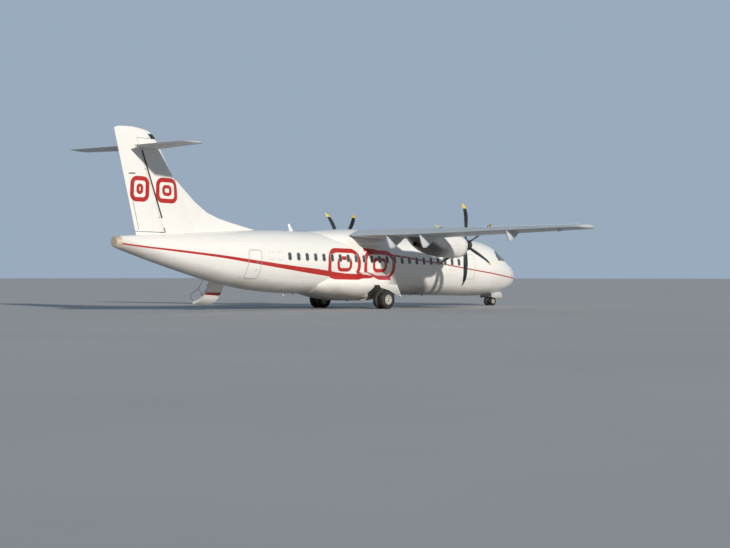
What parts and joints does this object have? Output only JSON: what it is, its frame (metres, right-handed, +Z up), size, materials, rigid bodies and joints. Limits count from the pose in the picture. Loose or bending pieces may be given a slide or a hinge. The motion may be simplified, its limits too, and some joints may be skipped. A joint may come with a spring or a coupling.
{
  "type": "turboprop airliner",
  "caption": "High-wing turboprop airliner parked on its gear, with turning propellers and wheels, steered nose gear, hinged control surfaces, flaps and cabin doors.",
  "frame": {"origin": "on the ground under the middle of the overall length, on the plane of symmetry", "axes": "+X forward to the nose, +Y to port, +Z up; the fuselage axis is 0.9 degrees nose-down as it parks"},
  "size_m": [27.0734, 27.05, 7.752],
  "materials": {
    "white_paint": "gloss white paint on the fuselage, fin, nacelles and doors",
    "belly_paint": "satin off-white paint on the landing-gear fairing",
    "radome_paint": "smooth paint on the plastic nose cone",
    "wing_paint": "light grey paint on the wing, tailplane and their moving surfaces",
    "tail_metal": "weathered beige-brown metal end of the tail cone",
    "glazing": "dark flight-deck glass",
    "exhaust_metal": "heat-darkened exhaust metal",
    "blade_composite": "near-black blades with yellow tips",
    "spinner_paint": "dark gloss spinner",
    "gear_steel": "light grey painted landing-gear legs",
    "wheel_paint": "grey-beige painted wheel rims",
    "tyre_rubber": "black aircraft tyre rubber"
  },
  "bodies": {
    "airframe": {"radome": "radome_paint", "nose_section": "white_paint", "flight_deck_glazing": "glazing", "cargo_section": "white_paint", "cabin_section": "white_paint", "entry_section": "white_paint", "tail_section": "white_paint", "tail_cap": "tail_metal", "service_door": "white_paint", "wing": "wing_paint", "wing_root_fairing": "white_paint", "belly_fairing": "belly_paint", "nacelle_left": "white_paint", "exhaust_left": "exhaust_metal", "nacelle_right": "white_paint", "exhaust_right": "exhaust_metal", "fin": "white_paint", "stabiliser": "wing_paint", "main_leg_left": "gear_steel", "main_gear_door_left": "white_paint", "main_leg_right": "gear_steel", "main_gear_door_right": "white_paint", "nose_leg": "gear_steel", "nose_gear_door_left": "white_paint", "nose_gear_door_right": "white_paint"},
    "airstair_door": {"airstair_door": "white_paint"},
    "cargo_door": {"cargo_door": "white_paint"},
    "flap_inboard_left": {"flap_inboard_left": "wing_paint"},
    "flap_inboard_right": {"flap_inboard_right": "wing_paint"},
    "flap_outboard_left": {"flap_outboard_left": "wing_paint"},
    "flap_outboard_right": {"flap_outboard_right": "wing_paint"},
    "aileron_left": {"aileron_left": "wing_paint"},
    "aileron_right": {"aileron_right": "wing_paint"},
    "propeller_left": {"propeller_left": "blade_composite", "spinner_left": "spinner_paint"},
    "propeller_right": {"propeller_right": "blade_composite", "spinner_right": "spinner_paint"},
    "rudder": {"rudder": "white_paint"},
    "elevator_left": {"elevator_left": "wing_paint"},
    "elevator_right": {"elevator_right": "wing_paint"},
    "main_wheels_left": {"main_rim_left_a": "wheel_paint", "main_tyre_left_a": "tyre_rubber", "main_rim_left_b": "wheel_paint", "main_tyre_left_b": "tyre_rubber"},
    "main_wheels_right": {"main_rim_right_a": "wheel_paint", "main_tyre_right_a": "tyre_rubber", "main_rim_right_b": "wheel_paint", "main_tyre_right_b": "tyre_rubber"},
    "nose_steering": {"nose_fork": "gear_steel"},
    "nose_wheels": {"nose_rim_a": "wheel_paint", "nose_tyre_a": "tyre_rubber", "nose_rim_b": "wheel_paint", "nose_tyre_b": "tyre_rubber"}
  },
  "joints": [
    {"name": "airstair_door_turn", "type": "hinge", "parent": "airframe", "child": "airstair_door", "pos_m": [-7.21669, 0.94213, 1.44867], "axis": [-0.9999, 0, 0.0158], "range_deg": [-136, 0]},
    {"name": "cargo_door_turn", "type": "hinge", "parent": "airframe", "child": "cargo_door", "pos_m": [8.65056, 1.22047, 2.72739], "axis": [0.9999, 0, -0.0158], "range_deg": [0, 115]},
    {"name": "flap_inboard_left_turn", "type": "hinge", "parent": "airframe", "child": "flap_inboard_left", "pos_m": [0.2274, 1.5, 2.84088], "axis": [-0.0001, 1, -0.0074], "range_deg": [-35, 0]},
    {"name": "flap_inboard_right_turn", "type": "hinge", "parent": "airframe", "child": "flap_inboard_right", "pos_m": [0.22717, -3.54, 2.82588], "axis": [0.0001, 1, 0.0074], "range_deg": [-35, 0]},
    {"name": "flap_outboard_left_turn", "type": "hinge", "parent": "airframe", "child": "flap_outboard_left", "pos_m": [0.22736, 4.56, 2.80088], "axis": [0.0105, 0.9987, 0.0495], "range_deg": [-35, 0]},
    {"name": "flap_outboard_right_turn", "type": "hinge", "parent": "airframe", "child": "flap_outboard_right", "pos_m": [0.28634, -10.15, 3.07798], "axis": [-0.0105, 0.9987, -0.0495], "range_deg": [-35, 0]},
    {"name": "aileron_left_turn", "type": "hinge", "parent": "airframe", "child": "aileron_left", "pos_m": [0.35327, 10.23, 3.56919], "axis": [0.0068, 0.9998, 0.018], "range_deg": [-14, 14]},
    {"name": "aileron_right_turn", "type": "hinge", "parent": "airframe", "child": "aileron_right", "pos_m": [0.37382, -13.26, 3.62363], "axis": [-0.0068, 0.9998, -0.018], "range_deg": [-14, 14]},
    {"name": "propeller_left_turn", "type": "hinge", "parent": "airframe", "child": "propeller_left", "pos_m": [4.57461, 4.05, 3.01501], "axis": [0.9999, 0, -0.0158], "continuous": true},
    {"name": "propeller_right_turn", "type": "hinge", "parent": "airframe", "child": "propeller_right", "pos_m": [4.57461, -4.05, 3.01501], "axis": [0.9999, 0, -0.0158], "continuous": true},
    {"name": "rudder_turn", "type": "hinge", "parent": "airframe", "child": "rudder", "pos_m": [-10.97784, 0, 3.38852], "axis": [-0.3507, 0, 0.9365], "range_deg": [-27, 27]},
    {"name": "elevator_left_turn", "type": "hinge", "parent": "airframe", "child": "elevator_left", "pos_m": [-12.33802, 0.12, 6.93052], "axis": [-0.0628, 0.998, 0.001], "range_deg": [-13, 23]},
    {"name": "elevator_right_turn", "type": "hinge", "parent": "airframe", "child": "elevator_right", "pos_m": [-12.56044, -3.655, 6.93404], "axis": [0.0628, 0.998, -0.001], "range_deg": [-13, 23]},
    {"name": "main_wheels_left_turn", "type": "hinge", "parent": "airframe", "child": "main_wheels_left", "pos_m": [0.95322, 2.05, 0.432], "axis": [0, 1, 0], "continuous": true},
    {"name": "main_wheels_right_turn", "type": "hinge", "parent": "airframe", "child": "main_wheels_right", "pos_m": [0.95322, -2.05, 0.432], "axis": [0, 1, 0], "continuous": true},
    {"name": "nose_steering_turn", "type": "hinge", "parent": "airframe", "child": "nose_steering", "pos_m": [11.72626, 0, 0.53807], "axis": [0.0158, 0, 0.9999], "range_deg": [-60, 60]},
    {"name": "nose_wheels_turn", "type": "hinge", "parent": "nose_steering", "child": "nose_wheels", "pos_m": [11.72129, 0, 0.225], "axis": [0, 1, 0], "continuous": true}
  ],
  "couplings": [
    {"joint": "flap_inboard_right_turn", "follows": "flap_inboard_left_turn", "ratio": 1},
    {"joint": "flap_outboard_left_turn", "follows": "flap_inboard_left_turn", "ratio": 1},
    {"joint": "flap_outboard_right_turn", "follows": "flap_inboard_left_turn", "ratio": 1},
    {"joint": "aileron_right_turn", "follows": "aileron_left_turn", "ratio": -1},
    {"joint": "elevator_right_turn", "follows": "elevator_left_turn", "ratio": 1}
  ]
}
